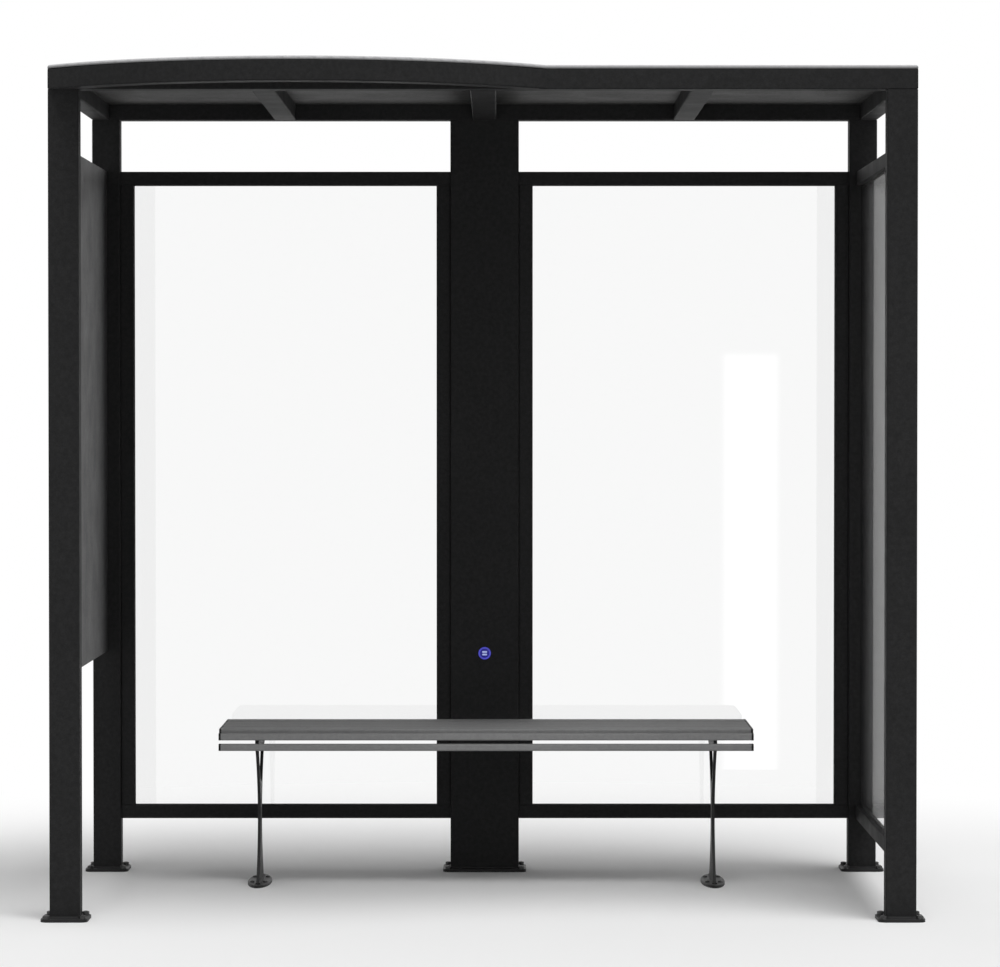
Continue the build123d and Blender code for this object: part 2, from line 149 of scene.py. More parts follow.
# %% Floor material
FLOOR_COLOUR, FLOOR_BOUNCE = 0.9, 0.5
FADE_START, FADE_END = 1.75, 3.4


def blank_material(name):
    """A material with an empty node tree and its output node."""
    material = bpy.data.materials.new(name)
    material.use_nodes = True
    material.node_tree.nodes.clear()
    out = add_node(material.node_tree, "ShaderNodeOutputMaterial")
    return material, material.node_tree, out


floor_material, tree, out = blank_material("studio_floor")
matt = add_node(tree, "ShaderNodeBsdfDiffuse")
seen = seen_directly(tree)
brightness = add_node(tree, "ShaderNodeMapRange")
brightness.inputs["To Min"].default_value = FLOOR_BOUNCE
brightness.inputs["To Max"].default_value = FLOOR_COLOUR
tree.links.new(seen, brightness.inputs["Value"])
tree.links.new(brightness.outputs[0], matt.inputs["Color"])
glow = add_node(tree, "ShaderNodeEmission")
where = add_node(tree, "ShaderNodeTexCoord")
reach = add_node(tree, "ShaderNodeVectorMath", operation="LENGTH")
fade = add_node(tree, "ShaderNodeMapRange", interpolation_type="SMOOTHSTEP")
fade.inputs["From Min"].default_value = FADE_START
fade.inputs["From Max"].default_value = FADE_END
only_seen = add_node(tree, "ShaderNodeMath", operation="MULTIPLY")
floor_mix = add_node(tree, "ShaderNodeMixShader")
tree.links.new(where.outputs["Object"], reach.inputs[0])
tree.links.new(reach.outputs["Value"], fade.inputs["Value"])
tree.links.new(fade.outputs[0], only_seen.inputs[0])
tree.links.new(seen, only_seen.inputs[1])
tree.links.new(only_seen.outputs[0], floor_mix.inputs[0])
tree.links.new(matt.outputs[0], floor_mix.inputs[1])
tree.links.new(glow.outputs[0], floor_mix.inputs[2])
tree.links.new(floor_mix.outputs[0], out.inputs[0])
print("the floor fades to white from", FADE_START, "to", FADE_END, "m")

# %% Floor
FLOOR_RADIUS, FLOOR_SIDES = 30.0, 96


def as_mesh(shape, name):
    """Turn a bmesh into a mesh and let the bmesh go."""
    mesh = bpy.data.meshes.new(name)
    shape.to_mesh(mesh)
    shape.free()
    return mesh


shape = bmesh.new()
bmesh.ops.create_circle(shape, cap_ends=True, segments=FLOOR_SIDES, radius=FLOOR_RADIUS)
floor = bpy.data.objects.new("floor", as_mesh(shape, "floor"))
floor.data.materials.append(floor_material)
bpy.context.scene.collection.objects.link(floor)
print("floor radius", FLOOR_RADIUS, "m")

# %% [markdown]
# ## Paint
# The steel is powder coated: a dry powder is sprayed on and baked, and it flows out into a skin
# with a very fine orange-peel surface. That skin is what makes black paint look like painted metal
# and not like plain black. The recipe is one function with a few numbers, because the end panel,
# the ceiling, the roof and the bench are coated the same way in other colours and with a coarser or
# finer grain.

# %% Noise, colour and bump
NOISE_LOW, NOISE_HIGH = 0.3, 0.7    # nearly all of a noise value lies between these


def principled(tree, out):
    """The main surface shader, joined to the output."""
    skin = add_node(tree, "ShaderNodeBsdfPrincipled")
    tree.links.new(skin.outputs[0], out.inputs[0])
    return skin


def noise(tree, per_metre, detail=3.0):
    """Noise on the object's own coordinates, in metres, so it keeps its size on every part."""
    coords = add_node(tree, "ShaderNodeTexCoord")
    texture = add_node(tree, "ShaderNodeTexNoise")
    texture.inputs["Scale"].default_value = per_metre
    texture.inputs["Detail"].default_value = detail
    tree.links.new(coords.outputs["Object"], texture.inputs["Vector"])
    return texture.outputs["Fac"]


def spread(tree, value, low, high):
    """Turn a noise value into a number between low and high."""
    ramp = add_node(tree, "ShaderNodeMapRange")
    ramp.inputs["From Min"].default_value = NOISE_LOW
    ramp.inputs["From Max"].default_value = NOISE_HIGH
    ramp.inputs["To Min"].default_value = low
    ramp.inputs["To Max"].default_value = high
    tree.links.new(value, ramp.inputs["Value"])
    return ramp.outputs[0]


def tint(tree, value, dark, light):
    """Mix two colours by a value."""
    mix = add_node(tree, "ShaderNodeMix", data_type="RGBA")
    mix.inputs[6].default_value = (*dark, 1.0)
    mix.inputs[7].default_value = (*light, 1.0)
    tree.links.new(value, mix.inputs[0])
    return mix.outputs[2]


def mottled(tree, per_metre, detail, dark, light):
    """A colour that drifts between a dark and a light one."""
    return tint(tree, spread(tree, noise(tree, per_metre, detail), 0.0, 1.0), dark, light)


def shade(tree, colour, factor):
    """Make a colour lighter or darker by a value around 1."""
    scaled = add_node(tree, "ShaderNodeVectorMath", operation="SCALE")
    tree.links.new(colour, scaled.inputs[0])
    tree.links.new(factor, scaled.inputs["Scale"])
    return scaled.outputs[0]


def bump(tree, height, depth, below=None):
    """A bump of a real depth in metres, laid over another bump if there is one."""
    node = add_node(tree, "ShaderNodeBump")
    node.inputs["Distance"].default_value = depth
    tree.links.new(height, node.inputs["Height"])
    if below is not None:
        tree.links.new(below, node.inputs["Normal"])
    return node.outputs[0]


print("noise from", NOISE_LOW, "to", NOISE_HIGH, "is spread over each range")

# %% Powder coat recipe
DRIFT, PATCHES = 2.3, 9.0               # slow changes of colour and of dullness, per metre
SWELL_WIDTH, SWELL_DEPTH = 6.0, 2.0     # how the orange peel's swells compare with its grains
DULLNESS_RANGE = 0.05


def powder_coat(name, colour, roughness=0.5, grain=420.0, depth=0.00012, shift=0.12, specular=0.12,
                mottle=90.0):
    """Powder coated metal.

    grain is fine grains per metre and depth their height, shift is how much the colour varies, and
    mottle is how many of the cloudier marks of a sprayed surface there are to a metre.
    """
    material, tree, out = blank_material(name)
    skin = principled(tree, out)
    fine = noise(tree, grain, 2.0)
    broad = mottled(tree, DRIFT, 4.0, dark=[c * (1.0 - shift / 2) for c in colour],
                    light=[c * (1.0 + shift / 2) for c in colour])
    cloudy = shade(tree, broad, spread(tree, noise(tree, mottle), 1.0 - shift, 1.0 + shift))
    speckled = shade(tree, cloudy, spread(tree, fine, 1.0 - shift, 1.0 + shift))
    tree.links.new(speckled, skin.inputs["Base Color"])
    dull = spread(tree, noise(tree, PATCHES, 5.0), roughness - DULLNESS_RANGE,
                  roughness + DULLNESS_RANGE)
    tree.links.new(dull, skin.inputs["Roughness"])
    skin.inputs["Specular IOR Level"].default_value = specular
    swell = bump(tree, noise(tree, grain / SWELL_WIDTH, 2.0), depth * SWELL_DEPTH)
    tree.links.new(bump(tree, fine, depth, below=swell), skin.inputs["Normal"])
    print(name, "colour", colour, "roughness", roughness)
    return material


def coat(material, *names):
    """Give each named part this material in every slot."""
    for name in names:
        for slot in nodes[name].material_slots:
            slot.material = material
    print(material.name, "on", len(names), "parts")


def painted_shade_low_down(material, low, high, share):
    """Paint shade into a coat between two heights, its colour falling to a share at the lower one."""
    tree = material.node_tree
    skin = next(node for node in tree.nodes if node.type == "BSDF_PRINCIPLED")
    colour = skin.inputs["Base Color"].links[0].from_socket
    coords = add_node(tree, "ShaderNodeTexCoord")
    height = add_node(tree, "ShaderNodeSeparateXYZ")
    rise = add_node(tree, "ShaderNodeMapRange")
    rise.inputs["From Min"].default_value = low
    rise.inputs["From Max"].default_value = high
    rise.inputs["To Min"].default_value = share
    tree.links.new(coords.outputs["Object"], height.inputs[0])
    tree.links.new(height.outputs["Z"], rise.inputs["Value"])
    tree.links.new(shade(tree, colour, rise.outputs[0]), skin.inputs["Base Color"])

# %% Coat the frame
black_coat = powder_coat("black_powder_coat", (0.0315, 0.0315, 0.032), roughness=0.55,
                         specular=0.03)
posts = ["front_left_post", "front_right_post", "back_left_post", "back_right_post",
         "centre_column"]
beams = ["front_beam", "back_beam", "left_side_beam", "right_side_beam", "bow_beam",
         "left_rafter", "centre_rafter", "right_rafter"]
bars = [side + "_window_" + part for side in ("left", "right")
        for part in ("top_rail", "bottom_rail", "left_stile", "right_stile")]
bars += ["right_screen_top_rail", "right_screen_bottom_rail"]
coat(black_coat, *posts, *beams, *bars)

# %% [markdown]
# ## Sheets and slats
# The end panel and the ceiling are sheets with a coarser textured coat in dark grey. The roof sheet
# is a light grey, and its rolled edge is the pale line along the top of the shelter. That edge is
# painted darker towards its foot, its colour scaled by height: this is painted shade, standing in for
# the light that falls off down the edge. The slats of the bench are a mid grey with a dull, even coat
# that neither glares nor marks, and their ends are black plastic caps. The base plates, the cast legs
# and the body of the socket are black again.

# %% Coat the sheets, plates and bench
# the share of its colour that the painted shade leaves at the foot of the roof's rolled edge
ROOF_SHADE_SHARE = 0.22

plate_coat = powder_coat("plate_powder_coat", (0.026, 0.026, 0.0265), roughness=0.5, specular=0.15)
coat(plate_coat, "post_base_plates", "column_base_plate")
panel_coat = powder_coat("panel_powder_coat", (0.039, 0.039, 0.04), roughness=0.5, grain=240.0,
                         depth=0.0006, shift=0.32, specular=0.2, mottle=85.0)
coat(panel_coat, "left_side_panel")
ceiling_coat = powder_coat("ceiling_powder_coat", (0.04, 0.04, 0.039), roughness=0.6, grain=240.0,
                           depth=0.0006, shift=0.34, specular=0.15, mottle=80.0)
coat(ceiling_coat, "ceiling_panels", "bow_ceiling_panel")
roof_coat = powder_coat("roof_powder_coat", (0.68, 0.68, 0.69), roughness=0.5, grain=300.0,
                        shift=0.06)
roof_low, roof_high = (corner.z - nodes["roof_sheet"].location.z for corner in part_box("roof_sheet"))
# painted shade: the rolled edge of the roof darkens towards its foot
painted_shade_low_down(roof_coat, roof_low, roof_high, ROOF_SHADE_SHARE)
coat(roof_coat, "roof_sheet")
seat_coat = powder_coat("seat_powder_coat", (0.32, 0.32, 0.321), roughness=0.75, grain=500.0,
                        shift=0.06, specular=0.3)
coat(seat_coat, "seat_planks", "upper_front_rail", "lower_front_rail")
cap_plastic = powder_coat("cap_plastic", (0.02, 0.02, 0.02), roughness=0.5, grain=900.0)
coat(cap_plastic, "left_end_caps", "right_end_caps", "charging_socket")
casting_coat = powder_coat("casting_coat", (0.026, 0.026, 0.026), roughness=0.5, grain=220.0,
                           depth=0.0004, specular=0.2)
coat(casting_coat, "left_bench_leg", "right_bench_leg", "left_bench_saddle", "right_bench_saddle",
     "bench_feet")

# %% [markdown]
# ## Glass
# The panes are clear toughened glass 10 mm thick. Each pane is a real slab, so light bends and
# reflects at both of its faces, and it is only a little grey. The pane at the end is tinted grey,
# and a rough clear coat on it stands for the film of dust that a street pane gathers. Looked
# through, such a pane is clear, and looked along, it is hazy.

# %% Glass material
GLASS_IOR, GLASS_GLOSS = 1.5, 0.32
DUST_ROUGHNESS = 0.3


def glass(name, colour, dust=0.0):
    """Glass with a tint and a share of dusty film."""
    material, tree, out = blank_material(name)
    skin = principled(tree, out)
    skin.inputs["Base Color"].default_value = (*colour, 1.0)
    skin.inputs["Roughness"].default_value = 0.0
    skin.inputs["IOR"].default_value = GLASS_IOR
    skin.inputs["Specular IOR Level"].default_value = GLASS_GLOSS
    skin.inputs["Transmission Weight"].default_value = 1.0
    skin.inputs["Coat Weight"].default_value = dust
    skin.inputs["Coat Roughness"].default_value = DUST_ROUGHNESS
    return material


coat(glass("clear_glass", (0.935, 0.937, 0.936)), "left_window_glass", "right_window_glass")
coat(glass("screen_glass", (0.62, 0.62, 0.62), dust=0.48), "right_screen_glass")

# %% [markdown]
# ## A bright strip in the glass
# Clear glass on a white ground is almost invisible. A studio shows that it is there with a tall
# white card beside the camera, whose reflection is a soft strip down one pane. This card is lit,
# soft at its edges and only its reflection is seen: it lights nothing, shades nothing and the
# camera looks through it.

# %% Reflector card
CARD_IN_FRONT = 2.02
CARD_LEFT, CARD_RIGHT, CARD_TOP = 0.871, 1.113, 1.589
CARD_LEVEL = 3.0
CARD_SOFT_EDGE = 0.036

card_material, tree, out = blank_material("white_card")
lit = add_node(tree, "ShaderNodeEmission")
clear = add_node(tree, "ShaderNodeBsdfTransparent")
lit.inputs["Strength"].default_value = CARD_LEVEL
card_coords = add_node(tree, "ShaderNodeTexCoord")
card_axes = add_node(tree, "ShaderNodeSeparateXYZ")
tree.links.new(card_coords.outputs["Object"], card_axes.inputs[0])


def soft_side(tree, value, edge, inward):
    """0 outside an edge and 1 a soft width inside it."""
    ramp = add_node(tree, "ShaderNodeMapRange", interpolation_type="SMOOTHSTEP")
    ramp.inputs["From Min"].default_value = edge
    ramp.inputs["From Max"].default_value = edge + inward
    tree.links.new(value, ramp.inputs["Value"])
    return ramp.outputs[0]


inside = None
for axis, edge, inward in ((0, CARD_LEFT, CARD_SOFT_EDGE), (0, CARD_RIGHT, -CARD_SOFT_EDGE),
                           (2, CARD_TOP, -CARD_SOFT_EDGE)):
    this_side = soft_side(tree, card_axes.outputs[axis], edge, inward)
    if inside is None:
        inside = this_side
    else:
        both = add_node(tree, "ShaderNodeMath", operation="MULTIPLY")
        tree.links.new(inside, both.inputs[0])
        tree.links.new(this_side, both.inputs[1])
        inside = both.outputs[0]
card_mix = add_node(tree, "ShaderNodeMixShader")
tree.links.new(inside, card_mix.inputs[0])
tree.links.new(clear.outputs[0], card_mix.inputs[1])
tree.links.new(lit.outputs[0], card_mix.inputs[2])
tree.links.new(card_mix.outputs[0], out.inputs[0])

card_mesh = bpy.data.meshes.new("reflector_card")
card_y = front_face - CARD_IN_FRONT
card_corners = [(CARD_LEFT, card_y, 0.0), (CARD_RIGHT, card_y, 0.0), (CARD_RIGHT, card_y, CARD_TOP),
                (CARD_LEFT, card_y, CARD_TOP)]
card_mesh.from_pydata(card_corners, [], [(3, 2, 1, 0)])
card_mesh.materials.append(card_material)
card = bpy.data.objects.new("reflector_card", card_mesh)
bpy.context.scene.collection.objects.link(card)
for ray in ("camera", "diffuse", "transmission", "shadow", "volume_scatter"):
    setattr(card, "visible_" + ray, False)      # only reflections see it
print("card", round(CARD_RIGHT - CARD_LEFT, 3), "m wide and", CARD_TOP, "m high")

# %% [markdown]
# ## Beads that follow an edge
# Two things on the shelter are laid as a bead along an edge: the weld where an upright meets its
# base plate, and the rubber that seals a pane in its bars. Both can be grown by one node tree. It
# takes plain lines, cuts them into short steps, sweeps a round section along them and swells the
# section a little at every ripple. A weld has a ripple every few millimetres, where the welder
# paused; the rubber has none.

# %% Helpers for geometry trees
def node_tree(name, **inputs):
    """An empty geometry tree with named inputs, given as name = (socket kind, first value)."""
    tree = bpy.data.node_groups.new(name, "GeometryNodeTree")
    tree.interface.new_socket("Geometry", in_out="INPUT", socket_type="NodeSocketGeometry")
    for label, (kind, first) in inputs.items():
        socket = tree.interface.new_socket(label, in_out="INPUT", socket_type="NodeSocket" + kind)
        if first is not None:
            socket.default_value = first
    tree.interface.new_socket("Geometry", in_out="OUTPUT", socket_type="NodeSocketGeometry")
    return tree, add_node(tree, "NodeGroupInput"), add_node(tree, "NodeGroupOutput")


def calculate(tree, operation, *values):
    """A maths node on sockets or plain numbers."""
    node = add_node(tree, "ShaderNodeMath", operation=operation)
    for index, value in enumerate(values):
        if isinstance(value, (int, float)):
            node.inputs[index].default_value = value
        else:
            tree.links.new(value, node.inputs[index])
    return node.outputs[0]


def end_tree(tree, geometry, given, result):
    """The last steps of every tree: real geometry and its material."""
    real = add_node(tree, "GeometryNodeRealizeInstances")
    finish = add_node(tree, "GeometryNodeSetMaterial")
    tree.links.new(geometry, real.inputs["Geometry"])
    tree.links.new(real.outputs[0], finish.inputs["Geometry"])
    tree.links.new(given.outputs["Material"], finish.inputs["Material"])
    tree.links.new(finish.outputs[0], result.inputs[0])


print("a tree ends in real geometry with its material")

# %% The bead tree
UNEVEN_PER_METRE = 90.0

bead_tree, given, result = node_tree(
    "bead_along_lines", Radius=("Float", 0.003), Step=("Float", 0.01), Ripple=("Float", 0.005),
    Swell=("Float", 0.0), Seed=("Float", 0.0), Sides=("Int", 8), Material=("Material", None))
lines = add_node(bead_tree, "GeometryNodeMeshToCurve")
steps = add_node(bead_tree, "GeometryNodeResampleCurve", mode="LENGTH")
along = add_node(bead_tree, "GeometryNodeSplineParameter")
uneven = add_node(bead_tree, "ShaderNodeTexNoise", noise_dimensions="4D")
uneven.inputs["Scale"].default_value = UNEVEN_PER_METRE
section = add_node(bead_tree, "GeometryNodeCurvePrimitiveCircle")
sweep = add_node(bead_tree, "GeometryNodeCurveToMesh")
sweep.inputs["Fill Caps"].default_value = True
link = bead_tree.links.new
link(given.outputs["Geometry"], lines.inputs[0])
link(lines.outputs[0], steps.inputs["Curve"])
link(given.outputs["Step"], steps.inputs["Length"])
link(steps.outputs[0], sweep.inputs["Curve"])
link(given.outputs["Sides"], section.inputs["Resolution"])
link(given.outputs["Radius"], section.inputs["Radius"])
link(section.outputs["Curve"], sweep.inputs["Profile Curve"])
link(given.outputs["Seed"], uneven.inputs["W"])
ripples = calculate(bead_tree, "DIVIDE", along.outputs["Length"], given.outputs["Ripple"])
half_turns = calculate(bead_tree, "MULTIPLY", ripples, math.pi)
humps = calculate(bead_tree, "ABSOLUTE", calculate(bead_tree, "SINE", half_turns))
hand = calculate(bead_tree, "SUBTRACT", uneven.outputs["Fac"], 1.0)
wave = calculate(bead_tree, "ADD", humps, hand)
scale = calculate(bead_tree, "MULTIPLY_ADD", wave, given.outputs["Swell"], 1.0)
link(scale, sweep.inputs["Scale"])
end_tree(bead_tree, sweep.outputs[0], given, result)
print("bead tree:", len(bead_tree.nodes), "nodes")

# %% Run a tree and keep the result
SMOOTH_BELOW = 40.0


def line_object(name, loops):
    """An object made of plain lines; each loop is a list of points and whether it closes."""
    points, edges = [], []
    for loop, closed in loops:
        first = len(points)
        points += [tuple(p) for p in loop]
        edges += [(first + i, first + i + 1) for i in range(len(loop) - 1)]
        if closed:
            edges.append((len(points) - 1, first))
    mesh = bpy.data.meshes.new(name)
    mesh.from_pydata(points, edges, [])
    return bpy.data.objects.new(name, mesh)


def grow(source, tree, name, slot, smooth_below=SMOOTH_BELOW, **values):
    """Run a tree on an object, keep the result as a plain mesh and let it move with the shelter."""
    bpy.context.scene.collection.objects.link(source)
    modifier = source.modifiers.new("grow", "NODES")
    modifier.node_group = tree
    for item in tree.interface.items_tree:
        if item.in_out == "INPUT" and item.name in values:
            modifier[item.identifier] = values[item.name]
    view = bpy.context.evaluated_depsgraph_get()
    mesh = bpy.data.meshes.new_from_object(source.evaluated_get(view))
    source.modifiers.remove(modifier)
    bpy.data.objects.remove(source)
    keep(name, mesh, smooth_below)


def keep(name, mesh, smooth_below=SMOOTH_BELOW):
    """Make a mesh a piece of the shelter, smooth but where faces meet more sharply than a limit."""
    mesh.name = name
    mesh.polygons.foreach_set("use_smooth", [True] * len(mesh.polygons))
    mesh.set_sharp_from_angle(angle=math.radians(smooth_below))
    piece = bpy.data.objects.new(name, mesh)
    bpy.context.scene.collection.objects.link(piece)
    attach(piece, "root")
    low, high = ([round(pick(v.co[axis] for v in mesh.vertices), 3) for axis in range(3)]
                 for pick in (min, max))
    print(name, len(mesh.polygons), "faces from", low, "to", high)


print("faces that meet at more than", SMOOTH_BELOW, "degrees keep a sharp edge")

# %% [markdown]
# ## Welds
# Every post and the centre column stand on an 8 mm base plate with a weld all round, and each cast
# leg is welded along both sides to its foot plate. The bead is laid in the corner and coated over
# with the rest, so it is black and only its ripples show. Its path is the outline of the tube at
# the top of the plate.

# %% Weld the uprights and the legs
WELD_RADIUS = 0.0035
WELD_RIPPLE, WELD_SWELL = 0.0045, 0.16
WELD_LIFT = WELD_RADIUS * 0.2
FOOT_WELD_REACH = 0.11
TUBE_CORNER, CORNER_STEPS = 0.004, 5


def outline(low, high, height, corner):
    """A closed line round a box section at one height, with round corners."""
    points = []
    # each corner starts at an angle that is counted in half turns
    for x_side, y_side, start in ((1, 1, 0.0), (-1, 1, 0.5), (-1, -1, 1.0), (1, -1, 1.5)):
        centre_x = (high.x - corner) if x_side > 0 else (low.x + corner)
        centre_y = (high.y - corner) if y_side > 0 else (low.y + corner)
        for step in range(CORNER_STEPS):
            angle = math.pi * (start + 0.5 * step / (CORNER_STEPS - 1))
            points.append((centre_x + corner * math.cos(angle), centre_y + corner * math.sin(angle),
                           height))
    return points


plate_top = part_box("post_base_plates")[1].z
foot_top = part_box("bench_feet")[1].z
weld_lines = [(outline(*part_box(name), plate_top + WELD_LIFT, TUBE_CORNER), True) for name in posts]
for name in ("left_bench_leg", "right_bench_leg"):
    low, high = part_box(name)
    middle = (low.y + high.y) / 2
    for x in (low.x, high.x):
        side_line = [(x, middle + end * FOOT_WELD_REACH, foot_top + WELD_LIFT) for end in (-1, 1)]
        weld_lines.append((side_line, False))
grow(line_object("weld_lines", weld_lines), bead_tree, "weld_beads", "plate_metal",
     Radius=WELD_RADIUS, Step=WELD_RIPPLE / 4, Ripple=WELD_RIPPLE, Swell=WELD_SWELL, Sides=8,
     Material=plate_coat)

# %% [markdown]
# ## Glazing rubber
# A pane is held in its bars by strips of black rubber pushed in on both sides. The strips go round
# each window, along the rails of the end screen, and the two upright edges of that screen, which
# has no bars, are sealed to the posts. The rubber is softer to look at than the paint: it is matt
# and a shade darker.

# %% Rubber
RUBBER_RADIUS = 0.0013
rubber, tree, out = blank_material("glazing_rubber")
skin = principled(tree, out)
dusty = mottled(tree, per_metre=160.0, detail=4.0, dark=(0.012, 0.012, 0.012),
                light=(0.024, 0.024, 0.024))
tree.links.new(dusty, skin.inputs["Base Color"])
dull = spread(tree, noise(tree, per_metre=30.0), low=0.65, high=0.8)
tree.links.new(dull, skin.inputs["Roughness"])
skin.inputs["Specular IOR Level"].default_value = 0.15
grain = noise(tree, per_metre=700.0, detail=2.0)
tree.links.new(bump(tree, grain, depth=0.0001), skin.inputs["Normal"])

rubber_lines = []


def strips(corners):
    """Four straight strips that meet at the corners of a pane."""
    return [([start, end], False) for start, end in zip(corners, corners[1:] + corners[:1])]


for side in ("left", "right"):
    pane_low, pane_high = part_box(side + "_window_glass")
    x_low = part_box(side + "_window_left_stile")[1].x
    x_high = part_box(side + "_window_right_stile")[0].x
    z_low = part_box(side + "_window_bottom_rail")[1].z
    z_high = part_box(side + "_window_top_rail")[0].z
    for y in (pane_low.y, pane_high.y):
        rubber_lines += strips([(x_low, y, z_low), (x_high, y, z_low), (x_high, y, z_high),
                                (x_low, y, z_high)])
pane_low, pane_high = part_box("right_screen_glass")
y_low, y_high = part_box("front_right_post")[1].y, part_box("back_right_post")[0].y
z_low, z_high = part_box("right_screen_bottom_rail")[1].z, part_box("right_screen_top_rail")[0].z
for x in (pane_low.x, pane_high.x):
    rubber_lines += strips([(x, y_low, z_low), (x, y_high, z_low), (x, y_high, z_high),
                            (x, y_low, z_high)])
grow(line_object("rubber_lines", rubber_lines), bead_tree, "glazing_rubber", "frame_paint",
     Radius=RUBBER_RADIUS, Step=0.05, Ripple=1.0, Swell=0.0, Sides=8, Material=rubber)

# %% [markdown]
# ## Nuts and screws
# The base plates are held down by M10 anchors. What shows of each is a washer, a low nut with its
# corners turned off and the end of the threaded rod. The feet of the bench have M8 screws with low
# round heads that nobody trips over. Both are turned from rings of points: a ring may follow a
# circle or a hexagon, so nut, washer and screw come from the same few lines. A second node tree
# then puts one on every hole and gives each its own turn, because nobody lines them up. They are
# dark zinc plated against rust.

# %% Bodies turned from rings
RING_STEPS = 36


def add_turned(shape, rings):
    """Add a closed body to a mesh; each ring gives the radius and the height at an angle."""
    loops = []
    for ring in rings:
        loop = []
        for step in range(RING_STEPS):
            angle = 2 * math.pi * step / RING_STEPS
            radius, height = ring(angle)
            point = (radius * math.cos(angle), radius * math.sin(angle), height)
            loop.append(shape.verts.new(point))
        loops.append(loop)
    for lower, upper in zip(loops, loops[1:]):
        for step in range(RING_STEPS):
            after = (step + 1) % RING_STEPS
            shape.faces.new((lower[step], lower[after], upper[after], upper[step]))
    shape.faces.new(loops[0][::-1])
    shape.faces.new(loops[-1])


def circle(radius, height):
    """A round ring."""
    return lambda angle: (radius, height)


def hexagon(flat, top_radius, height, slope):
    """A ring on the side of a nut, where a cone with this slope cuts its corners."""
    def ring(angle):
        radius = flat / math.cos((angle % (math.pi / 3)) - math.pi / 6)
        return radius, height - slope * (radius - top_radius)
    return ring


print("one ring of a nut or screw has", RING_STEPS, "points")

# %% One nut and one screw
DOME = ((0.86, 0.0), (0.875, 0.06), (0.83, 0.22), (0.7, 0.37), (0.52, 0.47), (0.38, 0.5))
SOCKET_FLAT, SOCKET_TOP, SOCKET_FLOOR = 0.31, 0.5, 0.24


def anchor_nut(shape, thread):
    """Washer, nut and rod end for a thread diameter, with the usual proportions."""
    flat, washer = thread * 0.83, thread * 1.02     # middle to a flat and to the washer's rim
    thick, high = thread * 0.18, thread * 0.7       # how thick the washer is and how high the nut
    edge = thick * 0.2
    top = thick + high
    crown = flat * 0.96
    cone = math.tan(math.radians(30.0))
    rod, rod_tip = thread * 0.5, thread * 0.42      # radius of the threaded rod and of its tip
    add_turned(shape, [circle(washer - edge, 0.0), circle(washer, edge),
                       circle(washer, thick - edge), circle(washer - edge, thick)])
    add_turned(shape, [circle(crown, thick), hexagon(flat, crown, thick, -cone),
                       hexagon(flat, crown, top, cone), circle(crown, top)])
    add_turned(shape, [circle(rod, top - edge), circle(rod, top + thread * 0.03),
                       circle(rod_tip, top + thread * 0.1)])


def button_screw(shape, thread):
    """The low round head of a screw and its hexagon socket, in shares of its thread."""
    rings = [circle(thread * across, thread * up) for across, up in DOME]
    rings += [hexagon(thread * SOCKET_FLAT, 0.0, thread * up, 0.0)
              for up in (SOCKET_TOP, SOCKET_FLOOR)]
    add_turned(shape, rings)


print("the screw's dome has", len(DOME), "rings")

# %% The tree that fits them
TURN_SEED = 4

place_tree, given, result = node_tree("one_on_every_point", Part=("Object", None),
                                      Seed=("Int", TURN_SEED), Material=("Material", None))
part = add_node(place_tree, "GeometryNodeObjectInfo")
any_turn = add_node(place_tree, "FunctionNodeRandomValue", data_type="FLOAT_VECTOR")
any_turn.inputs["Min"].default_value = (0.0, 0.0, 0.0)
any_turn.inputs["Max"].default_value = (0.0, 0.0, math.pi)
fit = add_node(place_tree, "GeometryNodeInstanceOnPoints")
link = place_tree.links.new
link(given.outputs["Part"], part.inputs["Object"])
link(given.outputs["Seed"], any_turn.inputs["Seed"])
link(given.outputs["Geometry"], fit.inputs["Points"])
link(part.outputs["Geometry"], fit.inputs["Instance"])
link(any_turn.outputs["Value"], fit.inputs["Rotation"])
end_tree(place_tree, fit.outputs[0], given, result)
print("fitting tree:", len(place_tree.nodes), "nodes")

# %% Dark zinc plating
dark_zinc, tree, out = blank_material("dark_zinc")
skin = principled(tree, out)
clouded = mottled(tree, per_metre=260.0, detail=4.0, dark=(0.05, 0.05, 0.049),
                  light=(0.085, 0.085, 0.086))
tree.links.new(clouded, skin.inputs["Base Color"])
skin.inputs["Metallic"].default_value = 1.0
dull = spread(tree, noise(tree, per_metre=120.0), low=0.36, high=0.5)
tree.links.new(dull, skin.inputs["Roughness"])
grain = noise(tree, per_metre=900.0, detail=2.0)
tree.links.new(bump(tree, grain, depth=0.00006), skin.inputs["Normal"])
print(dark_zinc.name, "has", len(tree.nodes), "nodes")

# %% One head on every hole
HARD_EDGE = 30.0                    # a nut's flats meet more sharply than this, in degrees


def hole_points(names, height):
    """The hole centres of some bolt patterns, at the height where their washers sit."""
    points = []
    for name in names:
        x, y, _ = mounts[name]["pos_m"]
        sizes = mounts[name]["dims"]
        reach_x, reach_y = sizes["spacing_x_mm"] / 2000.0, sizes["spacing_y_mm"] / 2000.0
        points += [(x + sx * reach_x, y + sy * reach_y, height) for sx in (-1, 1) for sy in (-1, 1)]
    print(len(points), "holes at", round(height, 4), "m")
    return points


def fit_heads(name, make, thread, holes, height, slot):
    """Make one head, put one on every hole and drop the pattern that they came from."""
    shape = bmesh.new()
    make(shape, thread)
    pattern = bpy.data.objects.new(name + "_pattern", as_mesh(shape, name + "_pattern"))
    bpy.context.scene.collection.objects.link(pattern)
    grow(line_object(name, [([point], False) for point in hole_points(holes, height)]), place_tree,
         name, slot, HARD_EDGE, Part=pattern, Seed=TURN_SEED, Material=dark_zinc)
    bpy.data.objects.remove(pattern)


